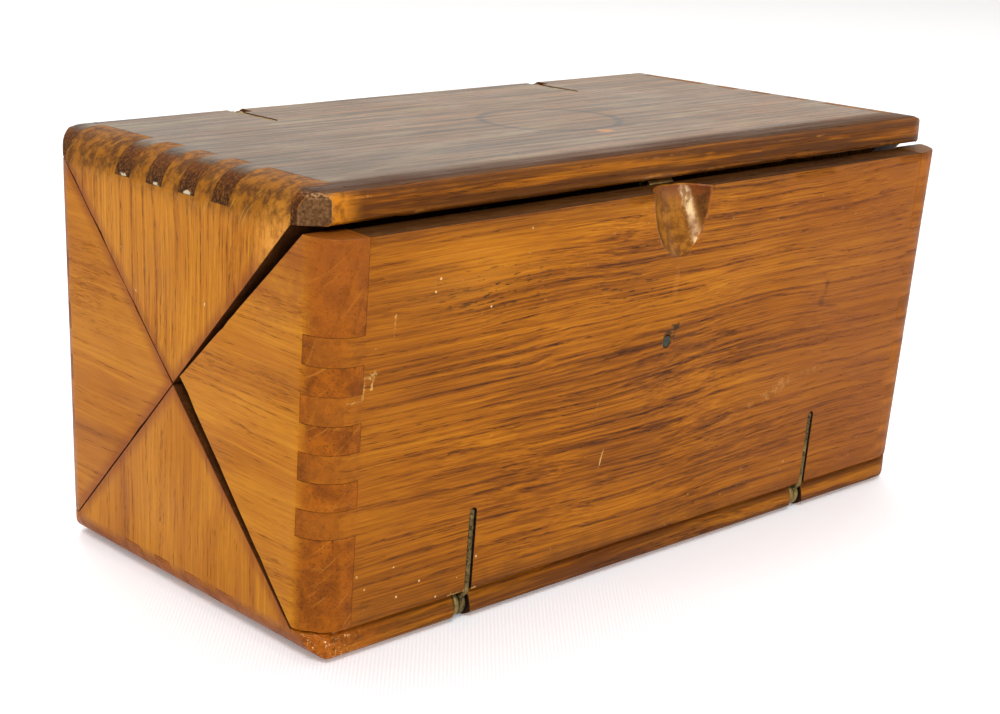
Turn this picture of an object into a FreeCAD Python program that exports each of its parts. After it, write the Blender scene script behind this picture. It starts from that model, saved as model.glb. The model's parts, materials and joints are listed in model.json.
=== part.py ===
import FreeCAD
import Part
import math
import os
from FreeCAD import Vector

# Folding wooden box for sewing machine attachments, of the kind that opens out flat.
#
# Four oak panels are hinged in a row: front - bottom - back - lid.  Each panel is a thin board with a
# triangular end piece finger-jointed to each of its ends, so that the closed box is a block with a
# square section and a cross of four triangles at each end.  Opened, the four panels lie flat in a row,
# each one a shallow tray lined with velvet and fitted with clips for the attachments.
#
# Millimetres.  +X runs along the box, -Y is the front, +Z is up, and the origin is the centre of the
# face that the box stands on.  The box is drawn shut, except for its front panel, which stands ajar.
#
# Every piece is drawn in the frame of its own panel: x along the box, y across the panel, z inwards
# from the panel's outer face.  on_panel() carries it to its side of the box.

# ---- driving dimensions --------------------------------------------------------------------
box_length = 203.0
box_side = 100.0
board_thick = 7.0
end_thick = 10.5            # thickness of a triangular end piece, along the box
end_round = 8.5             # radius of the sanded edges at each end of the box
chipped_round = 4.0         # the same radius at the lid's front left corner, which is chipped
facet = 5.0                 # the flat broken off the wide boards' front left corners, along each side
finger_width = 6.2
finger_count = 4            # fingers on each end of a board
seam_gap = 0.2              # between two panels that fold against each other
front_shrink = 1.3          # what the front panel is short of the lid
front_ajar_deg = 3.2

hinge_x = (-58.0, 59.3)     # the two hinges of the front and back lines
lid_hinge_x = (-50.0, 51.0)
wire_radius = 0.8
eye_radius = 2.4            # from the hinge axis to the middle of the wire
eye_pitch = 1.9             # between the two eyes of one hinge
eye_offset = 0.5            # from a wire's leg to its own eye, along the hinge
leg_depth = 0.9             # from the outer face to the middle of a leg
pin_radius = 1.5
pin_grip = 2.2              # how far a pin runs into the wood on each side of its slot
wire_reach = 26.0           # from the outer corner of the box to the end of a leg
lid_wire_reach = 21.0       # the same for the lid's hinges
prong_depth = 3.6
prong_clear = 1.1           # the empty depth under a prong
kerf_width = 1.9
slot_margin = 1.3           # from the middle of the slotted side's eye to the end of the slot
slot_past_leg = 0.7         # how far the slot runs past the middle of the other side's leg
leg_clear = 0.15            # beside a leg where it swings past a wide board's corner
leg_bend = 0.4              # how far past the inner face of the next panel a leg bends down

notch_top_half = 9.4        # thumb notch in the front panel: half its width at the top edge
notch_depth = 5.6
notch_height = 16.0
notch_rise = 10.4           # the middle of the scoop lies this far outside the panel
notch_skew_deg = 6.0        # how far the notch leans, so that its left side is the steeper

nose_soft_y = 4.5           # the worn outer edges of the wide boards: how far in, and how deep
nose_soft_z = 1.6
nose_ease = 0.8             # the small flat on their inner edges

lining_thick = 1.0
lining_half = 41.0
sheet = 0.7                 # thickness of the clips' sheet metal
nail_radius = 0.6
nail_head_radius = 1.6      # of the ball that the head is cut from
nail_head_drop = 0.8        # the ball's middle lies this far below the head's underside
nail_clear = 0.05
nail_sink = 4.5             # depth of a nail in the wood

catch_width = 8.0
catch_curl = 1.8            # outer radius of the catch spring's rolled end
catch_tail = 1.0            # where the spring's flat end lies, from the panel's middle
catch_rivet_y = -5.5
catch_rivet_radius = 1.4
catch_rivet_sunk = 0.4      # the rivet's tail, below the outer face
catch_head_radius = 3.0
catch_head_drop = 1.5
strike_half = 7.0           # half the strike plate's length
strike_back = 5.0           # the plate's reach either side of its groove
strike_front = 4.0
strike_nail_inset = 1.8
strike_nail_back = 3.2
groove_radius = 2.0
groove_height = 1.75        # the groove's axis, above the plate
lining_gap = 1.5            # between the velvet and the catch's metal
lining_end_gap = 0.4

clip_width = 7.0            # of the spring clips and the tool clips
# The sections of the bent fittings, as (along the panel's width, above the velvet).
spring_section = [(-4, 0), (5, 0), (9, 3.4), (17, 0.9), (21, 3.2)]
tool_clip_section = [(2.6, 8.0), (4.4, 5.6), (4.4, 2.2), (3.0, 0),
                     (-3.0, 0), (-4.4, 2.2), (-4.4, 5.6), (-2.6, 8.0)]
trough_half_length = 28.0
trough_half_width = 8.0
trough_height = 9.0
trough_window_half = 4.0    # the open part of the trough's ends, above its sill
trough_sill = 4.0
trough_nail_x = 20.0
rail_half_length = 36.0
rail_height = 9.0
rail_foot = 7.0
rail_slots = 5
rail_first_slot = 9.0
rail_slot_pitch = 13.5
rail_slot_width = 3.0
rail_nails_x = (-30.0, 0.0, 30.0)
rail_nail_y = 4.0
bracket_half_width = 6.0
bracket_base = (-6.0, 6.0)
bracket_height = 7.0
bracket_tongue = 15.0
bracket_slot_half = 1.6
bracket_nail_x = 3.2
bracket_nail_y = -1.0

# ---- worked out from them ------------------------------------------------------------------
half_length = box_length / 2
half_side = box_side / 2
hinge_inset = board_thick / 2
end_inner_x = half_length - end_thick
slant_reach = half_side - seam_gap / math.sqrt(2)     # |y| + z on an end piece's slanted faces
narrow_half = half_side - board_thick - seam_gap      # half the width of the front and back boards
wide_end_half = slant_reach - board_thick             # half the width of a wide board's end piece
front_top_half = narrow_half + seam_gap - front_shrink
floor_z = board_thick + lining_thick                  # the velvet's face, in a panel's frame
curl_y = catch_curl / 2 - front_top_half              # the middle of the catch spring's roll
strike_y = half_side - board_thick - 1.3              # the groove in the strike plate

TURN = {"bottom": 0, "front": -90, "back": 90, "lid": 180}
FRONT_AXIS = Vector(0, -half_side + hinge_inset, hinge_inset)
# Each panel's board, from its low to its high y.
WIDTH = {
    "bottom": (-half_side, half_side),
    "lid": (-half_side, half_side),
    "front": (-front_top_half, narrow_half),
    "back": (-narrow_half, narrow_half),
}
# A hinge line joins the slotted edge of a wide panel to the plain edge of a narrow one.
HINGES = {
    "front_hinge": (("bottom", -1), ("front", 1)),
    "back_hinge": (("bottom", 1), ("back", -1)),
    "lid_hinge": (("lid", -1), ("back", 1)),
}


# ---- helpers -------------------------------------------------------------------------------
def on_panel(shape, panel):
    """Carries a shape from a panel's own frame to the panel's place on the box."""
    shape = shape.copy()
    shape.rotate(Vector(0, 0, half_side), Vector(1, 0, 0), TURN[panel])
    if panel == "front":
        shape.rotate(FRONT_AXIS, Vector(1, 0, 0), front_ajar_deg)
    return shape


def box(x0, x1, y0, y1, z0, z1):
    return Part.makeBox(x1 - x0, y1 - y0, z1 - z0, Vector(x0, y0, z0))


def prism(points, direction):
    """A straight prism on a closed outline of straight sides."""
    return Part.Face(Part.makePolygon(points + points[:1])).extrude(direction)


def rod(start, end, radius):
    return Part.makeCylinder(radius, (end - start).Length, start, end - start)


def fuse(shapes):
    joined = shapes[0].fuse(shapes[1:]) if len(shapes) > 1 else shapes[0]
    return joined.removeSplitter()


def bent_strip(path, x0, width, thick=sheet):
    """Sheet metal bent along a path of (y, z) points, thick to the path's left, and width along x."""
    points = [Vector(0, y, z) for y, z in path]
    normals = []
    for a, b in zip(points, points[1:]):
        along = (b - a).normalize()
        normals.append(Vector(0, -along.z, along.y))
    left = [points[0] + normals[0] * thick]
    for point, before, after in zip(points[1:-1], normals, normals[1:]):
        mitre = (before + after).normalize()
        left.append(point + mitre * (thick / mitre.dot(after)))
    left.append(points[-1] + normals[-1] * thick)
    outline = [p + Vector(x0, 0, 0) for p in points + left[::-1]]
    return prism(outline, Vector(width, 0, 0))


# ---- the wooden panels ---------------------------------------------------------------------
def rounded_ends(radius):
    """All that lies within the sanded edges between a panel's outer face and its ends."""
    deep = half_side + 10
    lean = radius * (1 - math.sqrt(0.5))
    right, left = half_length, -half_length
    wide = half_side + 10

    def at(x, z):
        return Vector(x, -wide, z)

    edges = [
        Part.LineSegment(at(left + radius, 0), at(right - radius, 0)).toShape(),
        Part.Arc(at(right - radius, 0), at(right - lean, lean), at(right, radius)).toShape(),
        Part.LineSegment(at(right, radius), at(right, deep)).toShape(),
        Part.LineSegment(at(right, deep), at(left, deep)).toShape(),
        Part.LineSegment(at(left, deep), at(left, radius)).toShape(),
        Part.Arc(at(left, radius), at(left + lean, lean), at(left + radius, 0)).toShape(),
    ]
    return Part.Face(Part.Wire(edges)).extrude(Vector(0, 2 * wide, 0))


def sanded_block(panel):
    """A wide panel's outline: upright corners, and edges at the box's ends, sanded or chipped."""
    block = box(-half_length, half_length, -half_side, half_side, -1, half_side)
    upright = [e for e in block.Edges
               if abs(abs((e.Vertexes[0].Point - e.Vertexes[1].Point).normalize().z) - 1) < 1e-6]
    front_side = 1 if panel == "lid" else -1
    chipped = [e for e in upright
               if e.Vertexes[0].Point.x < 0 and e.Vertexes[0].Point.y * front_side > 0]
    sanded = [e for e in upright if e not in chipped]
    block = block.makeFillet(end_round, sanded)
    corner = [Vector(-half_length - 1, front_side * (half_side - facet - 1), -2),
              Vector(-half_length - 1, front_side * (half_side + 1), -2),
              Vector(-half_length + facet + 1, front_side * (half_side + 1), -2)]
    block = block.cut(prism(corner, Vector(0, 0, half_side + 4)))
    if panel != "lid":
        return block.common(rounded_ends(end_round))
    keep = box(-half_length - 1, -end_inner_x, half_side - 20, half_side + 1, -2, half_side + 1)
    chipped_part = block.common(keep).common(rounded_ends(chipped_round))
    return block.cut(keep).common(rounded_ends(end_round)).fuse(chipped_part)


def finger_bands():
    """The (low, high) y of the fingers on a board's end."""
    first = -finger_width * (finger_count - 0.5)
    lows = [first + 2 * finger_width * i for i in range(finger_count)]
    return [(low, low + finger_width) for low in lows]


def nosed_profile(panel):
    """The section of a wide board.  Its hinged edges are round about the hinge axis."""
    t, r = board_thick, hinge_inset
    lean = r * math.sqrt(0.5)
    soft_y, soft_z, ease = nose_soft_y, nose_soft_z, nose_ease
    x = -end_inner_x

    def at(y, z):
        return Vector(x, y, z)

    def edge(side, hinged):
        """From the inner face round to the outer face."""
        y = side * half_side
        in_y = y - side * r
        if hinged:
            nose = [Part.Arc(at(in_y, t), at(in_y + side * lean, r + lean), at(y, r)).toShape()]
        else:
            nose = [
                Part.LineSegment(at(in_y, t), at(y - side * ease, t)).toShape(),
                Part.LineSegment(at(y - side * ease, t), at(y, t - ease)).toShape(),
                Part.LineSegment(at(y, t - ease), at(y, r)).toShape(),
            ]
        worn = at(y - side * soft_y * 0.3, soft_z * 0.3)
        return nose + [
            Part.LineSegment(at(y, r), at(y, soft_z)).toShape(),
            Part.Arc(at(y, soft_z), worn, at(y - side * soft_y, 0)).toShape(),
        ]

    high_hinged = panel == "bottom"
    in_half = half_side - r
    edges = edge(-1, True)
    edges.append(Part.LineSegment(at(-half_side + soft_y, 0), at(half_side - soft_y, 0)).toShape())
    edges += edge(1, high_hinged)[::-1]
    edges.append(Part.LineSegment(at(in_half, t), at(-in_half, t)).toShape())
    return Part.Face(Part.Wire(Part.__sortEdges__(edges)))


def make_board(panel):
    """A board: a plain slab between the end pieces, with fingers, and horns on a wide one."""
    low, high = WIDTH[panel]
    wide = panel in ("bottom", "lid")
    fingers = [box(side * end_inner_x if side > 0 else -half_length,
                   half_length if side > 0 else -end_inner_x, a, b, 0, board_thick)
               for side in (-1, 1) for a, b in finger_bands()]
    fingers = [finger.common(rounded_ends(end_round)) for finger in fingers]
    if not wide:
        return fuse([box(-end_inner_x, end_inner_x, low, high, 0, board_thick)] + fingers)

    slab = nosed_profile(panel).extrude(Vector(2 * end_inner_x, 0, 0))
    through = nosed_profile(panel).extrude(Vector(box_length, 0, 0))
    through.translate(Vector(-end_thick, 0, 0))
    through = through.common(sanded_block(panel))
    horns = []
    for side in (-1, 1):
        for end in (-1, 1):
            y0, y1 = sorted((side * wide_end_half, side * half_side))
            x0, x1 = sorted((end * end_inner_x, end * half_length))
            horns.append(through.common(box(x0, x1, y0, y1, -1, board_thick + 1)))
    return fuse([slab] + fingers + horns)


def make_end(panel, end):
    """A triangular end piece, notched for the board's fingers."""
    low, high = WIDTH[panel]
    if panel in ("bottom", "lid"):
        low, high = -wide_end_half, wide_end_half
    x0, x1 = sorted((end * end_inner_x, end * half_length))
    outline = [Vector(x0, low, 0), Vector(x0, high, 0), Vector(x0, high, slant_reach - high),
               Vector(x0, 0, slant_reach), Vector(x0, low, slant_reach + low)]
    piece = prism(outline, Vector(x1 - x0, 0, 0)).common(rounded_ends(end_round))
    notches = [box(x0, x1, a, b, -1, board_thick) for a, b in finger_bands()]
    return piece.cut(notches).removeSplitter()


def thumb_notch():
    """The scoop in the front panel's top edge: part of an egg whose middle lies outside the panel."""
    thick = notch_rise + notch_depth
    spread = 1 / math.sqrt(1 - (notch_rise / thick) ** 2)
    shape = FreeCAD.Matrix()
    shape.scale(notch_top_half * spread, notch_height * spread, thick)
    ball = Part.makeSphere(1.0)
    ball.rotate(Vector(0, 0, 0), Vector(0, 1, 0), 90)
    scoop = ball.transformGeometry(shape)
    scoop.rotate(Vector(0, 0, 0), Vector(0, 0, 1), -notch_skew_deg)
    scoop.translate(Vector(0, -front_top_half, -notch_rise))
    return scoop


# ---- the hinges ----------------------------------------------------------------------------
def hinge_centres(hinge):
    return list(zip(("left", "right"), lid_hinge_x if hinge == "lid_hinge" else hinge_x))


def reach_of(hinge):
    return lid_wire_reach if hinge == "lid_hinge" else wire_reach


def wire_x(slotted, x):
    """Where the leg and the eye of a hinge's wire lie along the box."""
    if slotted:
        return x - 2 * eye_offset - eye_pitch, x - eye_offset - eye_pitch
    return x, x - eye_offset


def axis_point(side, x=0.0):
    return Vector(x, side * (half_side - hinge_inset), hinge_inset)


def make_wire(slotted, side, x, reach):
    """A hinge wire: a prong in the wood, a leg in its kerf and an eye round the hinge pin."""
    leg_x, eye_x = wire_x(slotted, x)
    tip = Vector(leg_x, side * (half_side - reach), leg_depth)
    bend = Vector(leg_x, side * (half_side - board_thick + leg_bend), leg_depth)
    inward = eye_radius * math.sqrt(0.5)
    meet = Vector(eye_x, side * (half_side - hinge_inset - inward), hinge_inset - inward)
    eye = Part.makeTorus(eye_radius, wire_radius, axis_point(side, eye_x), Vector(1, 0, 0))
    return fuse([
        rod(tip, tip + Vector(0, 0, prong_depth), wire_radius),
        Part.makeSphere(wire_radius, tip),
        rod(tip, bend, wire_radius),
        Part.makeSphere(wire_radius, bend),
        rod(bend, meet, wire_radius * 0.95),
        eye,
    ])


def wire_room(slotted, side, x, reach):
    """What is cut from the board for a wire: its kerf and the hole for its prong."""
    leg_x, _ = wire_x(slotted, x)
    far, near = side * (half_side - reach), side * (half_side + 1)
    y0, y1 = sorted((far, near))
    kerf = box(leg_x - kerf_width / 2, leg_x + kerf_width / 2, y0, y1, -1, leg_depth + kerf_width / 2)
    hole = Part.makeCylinder(kerf_width / 2, leg_depth + prong_depth + prong_clear,
                             Vector(leg_x, far, -1))
    return [kerf, hole]


def slot_limits(x):
    """The slot in a wide board's edge, along the box: it holds both eyes of a hinge."""
    _, eye_x = wire_x(True, x)
    return eye_x - slot_margin, x + slot_past_leg


def slot_room(side, x):
    x0, x1 = slot_limits(x)
    reach = hinge_inset + eye_radius + wire_radius + 0.5
    y0, y1 = sorted((side * (half_side - reach), side * (half_side + 1)))
    bore = Part.makeCylinder(pin_radius + nail_clear, x1 - x0 + 2 * pin_grip + 0.2,
                             axis_point(side, x0 - pin_grip - 0.1), Vector(1, 0, 0))
    return [box(x0, x1, y0, y1, -1, board_thick + 1), bore, leg_relief(side, x)]


def leg_relief(side, x):
    """The corner taken off a wide board beside its slot, where the other side's leg swings past."""
    y0, y1 = sorted((side * (half_side - hinge_inset), side * (half_side + 1)))
    half = wire_radius + leg_clear
    corner = box(x - half, x + half, y0, y1, -1, hinge_inset)
    nose = Part.makeCylinder(hinge_inset, 2 * half, axis_point(side, x - half), Vector(1, 0, 0))
    return corner.cut(nose)


def make_pins(hinge, side):
    """The two hinge pins of one edge."""
    pins = []
    for _, x in hinge_centres(hinge):
        x0, x1 = slot_limits(x)
        pins.append(Part.makeCylinder(pin_radius, x1 - x0 + 2 * pin_grip,
                                      axis_point(side, x0 - pin_grip), Vector(1, 0, 0)))
    return Part.makeCompound(pins)


# ---- the linings, catch and clips ----------------------------------------------------------
def nail(x, y, under_head):
    """A round-headed nail driven through sheet metal into the board."""
    foot = board_thick - nail_sink
    shank = Part.makeCylinder(nail_radius, under_head - foot, Vector(x, y, foot))
    r = nail_head_radius
    ball = Part.makeSphere(r, Vector(x, y, under_head - nail_head_drop))
    head = ball.common(box(x - r, x + r, y - r, y + r, under_head, under_head + r))
    return fuse([shank, head])


def nail_hole(x, y):
    foot = board_thick - nail_sink - nail_clear
    return Part.makeCylinder(nail_radius + nail_clear, half_side, Vector(x, y, foot))


def make_catch_spring():
    """A brass leaf on the inside of the front panel, its top end rolled to bear under the lid."""
    half = catch_width / 2
    leaf = box(-half, half, curl_y, catch_tail, board_thick, board_thick + sheet)
    centre = Vector(-half, curl_y, board_thick + catch_curl)
    roll = Part.makeCylinder(catch_curl, catch_width, centre, Vector(1, 0, 0))
    core = Part.makeCylinder(catch_curl - sheet, catch_width, centre, Vector(1, 0, 0))
    hole = Part.makeCylinder(catch_rivet_radius + nail_clear, half_side, Vector(0, catch_rivet_y, 0))
    return fuse([leaf.cut(roll), roll.cut(core)]).cut(hole)


def make_catch_rivet():
    """The rivet through the front panel that holds the catch spring; its tail shows outside."""
    top = board_thick + sheet
    shank = Part.makeCylinder(catch_rivet_radius, top - catch_rivet_sunk,
                              Vector(0, catch_rivet_y, catch_rivet_sunk))
    r = catch_head_radius
    ball = Part.makeSphere(r, Vector(0, catch_rivet_y, top - catch_head_drop))
    head = ball.common(box(-r, r, catch_rivet_y - r, catch_rivet_y + r, top, top + r))
    return fuse([shank, head])


def make_strike_plate():
    """A flush plate under the lid's front edge, with a shallow groove for the rolled end."""
    plate = box(-strike_half, strike_half, strike_y - strike_back, strike_y + strike_front,
                board_thick - sheet, board_thick)
    groove = Part.makeCylinder(groove_radius, 2 * strike_half,
                               Vector(-strike_half, strike_y, board_thick + groove_height),
                               Vector(1, 0, 0))
    holes = [nail_hole(x, y) for x, y in strike_nails()]
    return plate.cut([groove] + holes)


def strike_nails():
    return [(side * (strike_half - strike_nail_inset), strike_y - strike_nail_back)
            for side in (-1, 1)]


def make_spring_clip(x, y, toward):
    """A leaf clip: nailed flat at one end, arched, with a turned-up lip at the other."""
    points = [(y + toward * py, floor_z + pz) for py, pz in spring_section]
    if toward < 0:
        points = points[::-1]
    clip = bent_strip(points, x - clip_width / 2, clip_width)
    return clip.cut(nail_hole(x, y))


def make_bobbin_trough(x, y):
    """A long open trough for the shuttle bobbins."""
    long_half, wide_half, tall = trough_half_length, trough_half_width, trough_height
    outer = box(x - long_half, x + long_half, y - wide_half, y + wide_half, floor_z, floor_z + tall)
    inner = box(x - long_half + sheet, x + long_half - sheet, y - wide_half + sheet,
                y + wide_half - sheet, floor_z + sheet, floor_z + tall + 1)
    window = box(x - long_half - 1, x + long_half + 1, y - trough_window_half, y + trough_window_half,
                 floor_z + trough_sill, floor_z + tall + 1)
    holes = [nail_hole(x + dx, y) for dx in (-trough_nail_x, trough_nail_x)]
    return outer.cut([inner, window] + holes)


def make_foot_rail(x, y):
    """An angle strip with open slots, for the hemmers and presser feet to hang in."""
    section = [(y, floor_z + rail_height), (y, floor_z), (y + rail_foot, floor_z)]
    angle = bent_strip(section, x - rail_half_length, 2 * rail_half_length)
    first = x - rail_half_length + rail_first_slot
    starts = [first + rail_slot_pitch * i for i in range(rail_slots)]
    slots = [box(start, start + rail_slot_width, y - 1, y + 1, floor_z + 3, floor_z + rail_height + 1)
             for start in starts]
    return angle.cut(slots + [nail_hole(x + dx, y + rail_nail_y) for dx in rail_nails_x])


def make_tool_clip(x, y):
    """A sprung pair of arms that grips a screwdriver's handle."""
    points = [(y + py, floor_z + pz) for py, pz in tool_clip_section[::-1]]
    clip = bent_strip(points, x - clip_width / 2, clip_width)
    return clip.cut(nail_hole(x, y))


def make_ruffler_bracket(x, y):
    """A cranked bracket with a slotted tongue, for the ruffler's fork."""
    back, knee = y + bracket_base[0], y + bracket_base[1]
    tip, top = y + bracket_tongue, floor_z + bracket_height
    tongue = bent_strip([(back, floor_z), (knee, floor_z), (knee, top), (tip, top)],
                        x - bracket_half_width, 2 * bracket_half_width)
    slot = box(x - bracket_slot_half, x + bracket_slot_half, knee + 3, tip + 1, top - 2, top + 2)
    holes = [nail_hole(x + dx, y + bracket_nail_y) for dx in (-bracket_nail_x, bracket_nail_x)]
    return tongue.cut([slot] + holes)


# Each fitting's middle, and its nails.
RAIL = (-40.0, -14.0)
TROUGH = (-44.0, 0.0)
BRACKET = (-50.0, -8.0)


# name: (panel, shape, nails as (x, y))
FITTINGS = {
    "foot_rail": ("bottom", make_foot_rail(*RAIL),
                  [(RAIL[0] + dx, RAIL[1] + rail_nail_y) for dx in rail_nails_x]),
    "bottom_spring_clip_left": ("bottom", make_spring_clip(30, -18, 1), [(30, -18)]),
    "bottom_spring_clip_right": ("bottom", make_spring_clip(66, -18, 1), [(66, -18)]),
    "bobbin_trough": ("back", make_bobbin_trough(*TROUGH),
                      [(TROUGH[0] + dx, TROUGH[1]) for dx in (-trough_nail_x, trough_nail_x)]),
    "back_spring_clip_left": ("back", make_spring_clip(26, 14, -1), [(26, 14)]),
    "back_spring_clip_right": ("back", make_spring_clip(62, 14, -1), [(62, 14)]),
    "ruffler_bracket": ("lid", make_ruffler_bracket(*BRACKET),
                        [(BRACKET[0] + dx, BRACKET[1] + bracket_nail_y)
                         for dx in (-bracket_nail_x, bracket_nail_x)]),
    "lid_spring_clip": ("lid", make_spring_clip(46, -12, 1), [(46, -12)]),
    "tool_clip_left": ("front", make_tool_clip(-60, 10), [(-60, 10)]),
    "tool_clip_right": ("front", make_tool_clip(40, 10), [(40, 10)]),
}


def nail_places(panel):
    """The nails of a panel, as (x, y, height of the metal under the head)."""
    places = [(x, y, floor_z + sheet) for side, _, nails in FITTINGS.values() if side == panel
              for x, y in nails]
    if panel == "lid":
        places += [(x, y, board_thick) for x, y in strike_nails()]
    return places


def make_lining(panel):
    """The velvet glued to a panel's inside, pierced by the nails."""
    half = end_inner_x - lining_end_gap
    velvet = box(-half, half, -lining_half, lining_half, board_thick, floor_z)
    room = [nail_hole(x, y) for x, y, _ in nail_places(panel)]
    if panel == "front":
        half = catch_width / 2 + lining_gap
        room.append(box(-half, half, -half_side, catch_tail + 2, board_thick, half_side))
    if panel == "lid":
        half = strike_half + lining_gap
        room.append(box(-half, half, strike_y - strike_back - lining_gap, half_side,
                        board_thick, half_side))
    return velvet.cut(room) if room else velvet


# ---- assembly ------------------------------------------------------------------------------
def board_room(panel):
    """Everything that is cut out of a panel's board."""
    room = [nail_hole(x, y) for x, y, _ in nail_places(panel)]
    for hinge, ((slotted, slotted_side), (plain, plain_side)) in HINGES.items():
        for _, x in hinge_centres(hinge):
            if slotted == panel:
                room += slot_room(slotted_side, x) + wire_room(True, slotted_side, x, reach_of(hinge))
            if plain == panel:
                room += wire_room(False, plain_side, x, reach_of(hinge))
    if panel == "front":
        room.append(thumb_notch())
        room.append(Part.makeCylinder(catch_rivet_radius + nail_clear, board_thick + 2,
                                      Vector(0, catch_rivet_y, -1)))
    if panel == "lid":
        room.append(box(-strike_half, strike_half, strike_y - strike_back, strike_y + strike_front,
                        board_thick - sheet, board_thick + 1))
    return room


def build():
    nodes = {}
    for panel in TURN:
        nodes[panel + "_board"] = (panel, make_board(panel).cut(board_room(panel)))
        nodes[panel + "_end_left"] = (panel, make_end(panel, -1))
        nodes[panel + "_end_right"] = (panel, make_end(panel, 1))
        nodes[panel + "_lining"] = (panel, make_lining(panel))
        if nail_places(panel):
            nails = [nail(x, y, z) for x, y, z in nail_places(panel)]
            nodes[panel + "_nails"] = (panel, Part.makeCompound(nails))
    for hinge, ((slotted, slotted_side), (plain, plain_side)) in HINGES.items():
        for hand, x in hinge_centres(hinge):
            under_wire = make_wire(True, slotted_side, x, reach_of(hinge))
            nodes[f"{hinge}_{slotted}_wire_{hand}"] = (slotted, under_wire)
            outer_wire = make_wire(False, plain_side, x, reach_of(hinge))
            nodes[f"{hinge}_{plain}_wire_{hand}"] = (plain, outer_wire)
        nodes[hinge + "_pins"] = (slotted, make_pins(hinge, slotted_side))
    nodes["catch_spring"] = ("front", make_catch_spring())
    nodes["catch_rivet"] = ("front", make_catch_rivet())
    nodes["strike_plate"] = ("lid", make_strike_plate())
    for name, (panel, shape, _) in FITTINGS.items():
        nodes[name] = (panel, shape)
    return nodes


os.makedirs("parts", exist_ok=True)
for name, (panel, shape) in build().items():
    placed = on_panel(shape, panel)
    for solid in placed.Solids:
        if not solid.isValid() or solid.Volume <= 0:
            raise ValueError(name + " holds a bad solid")
    print(f"{name:36s} {panel:7s} solids {len(placed.Solids)}  {placed.Volume:10.1f} mm3")
    placed.exportStep("parts/" + name + ".step")
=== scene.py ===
import json
import math
import bmesh
import bpy
from mathutils import Matrix, Vector, noise


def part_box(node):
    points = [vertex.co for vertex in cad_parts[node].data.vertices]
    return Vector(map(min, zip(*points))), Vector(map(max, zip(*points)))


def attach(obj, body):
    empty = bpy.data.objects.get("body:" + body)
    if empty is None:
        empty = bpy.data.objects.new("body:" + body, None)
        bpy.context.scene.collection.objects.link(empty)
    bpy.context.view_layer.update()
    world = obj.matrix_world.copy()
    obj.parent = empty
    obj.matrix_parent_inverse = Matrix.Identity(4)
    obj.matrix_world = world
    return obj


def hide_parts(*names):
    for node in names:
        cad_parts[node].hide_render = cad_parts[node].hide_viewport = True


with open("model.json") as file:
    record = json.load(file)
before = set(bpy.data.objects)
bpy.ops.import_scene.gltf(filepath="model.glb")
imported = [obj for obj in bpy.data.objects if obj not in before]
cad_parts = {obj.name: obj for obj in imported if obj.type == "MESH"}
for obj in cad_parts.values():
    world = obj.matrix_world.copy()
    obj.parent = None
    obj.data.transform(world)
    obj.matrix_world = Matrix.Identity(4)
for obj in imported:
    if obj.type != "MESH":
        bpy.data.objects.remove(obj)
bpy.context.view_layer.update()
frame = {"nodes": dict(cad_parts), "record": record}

# Lengths in this script are millimetres unless they go straight to Blender; MM turns them into metres.
MM = 0.001
NODES = frame["nodes"]
BODIES = frame["record"]["behaviour"]["bodies"]
BODY_OF = {node: body for body, nodes in BODIES.items() for node in nodes}
SLOT_OF = {s["node"]: s["material_slot"] for s in frame["record"]["subparts"]}
PANELS = ("bottom", "front", "back", "lid")

# ---- sizes read from the frame -------------------------------------------------------------
HALF_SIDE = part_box("bottom_board")[1][1] / MM             # half the side of the shut box's square
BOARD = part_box("bottom_lining")[0][2] / MM                # a board's thickness
END_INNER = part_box("bottom_end_right")[0][0] / MM         # an end piece's inner face, along the box
WIDE_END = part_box("bottom_end_right")[1][1] / MM          # half an end piece's width at its widest

# ---- sizes read off the photo ---------------------------------------------------------------
FINGERS_HALF = 21.7          # half the width of a row of fingers, across the panel
HINGE_REACH = 27.0           # how far a hinge's kerf runs in from the box's edge
KERF_REACH = 3.2             # half the width, along the box, that is dirty about a hinge's wire
KERF_GROUP = 9.0             # a hinge's kerfs and slots lie this close to each other along the box
NOTCH_HALF, NOTCH_LOW = 11.0, 72.0     # the thumb notch lies within this, and above this height
AJAR = math.radians(3.2)     # how far the front stands open


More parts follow.
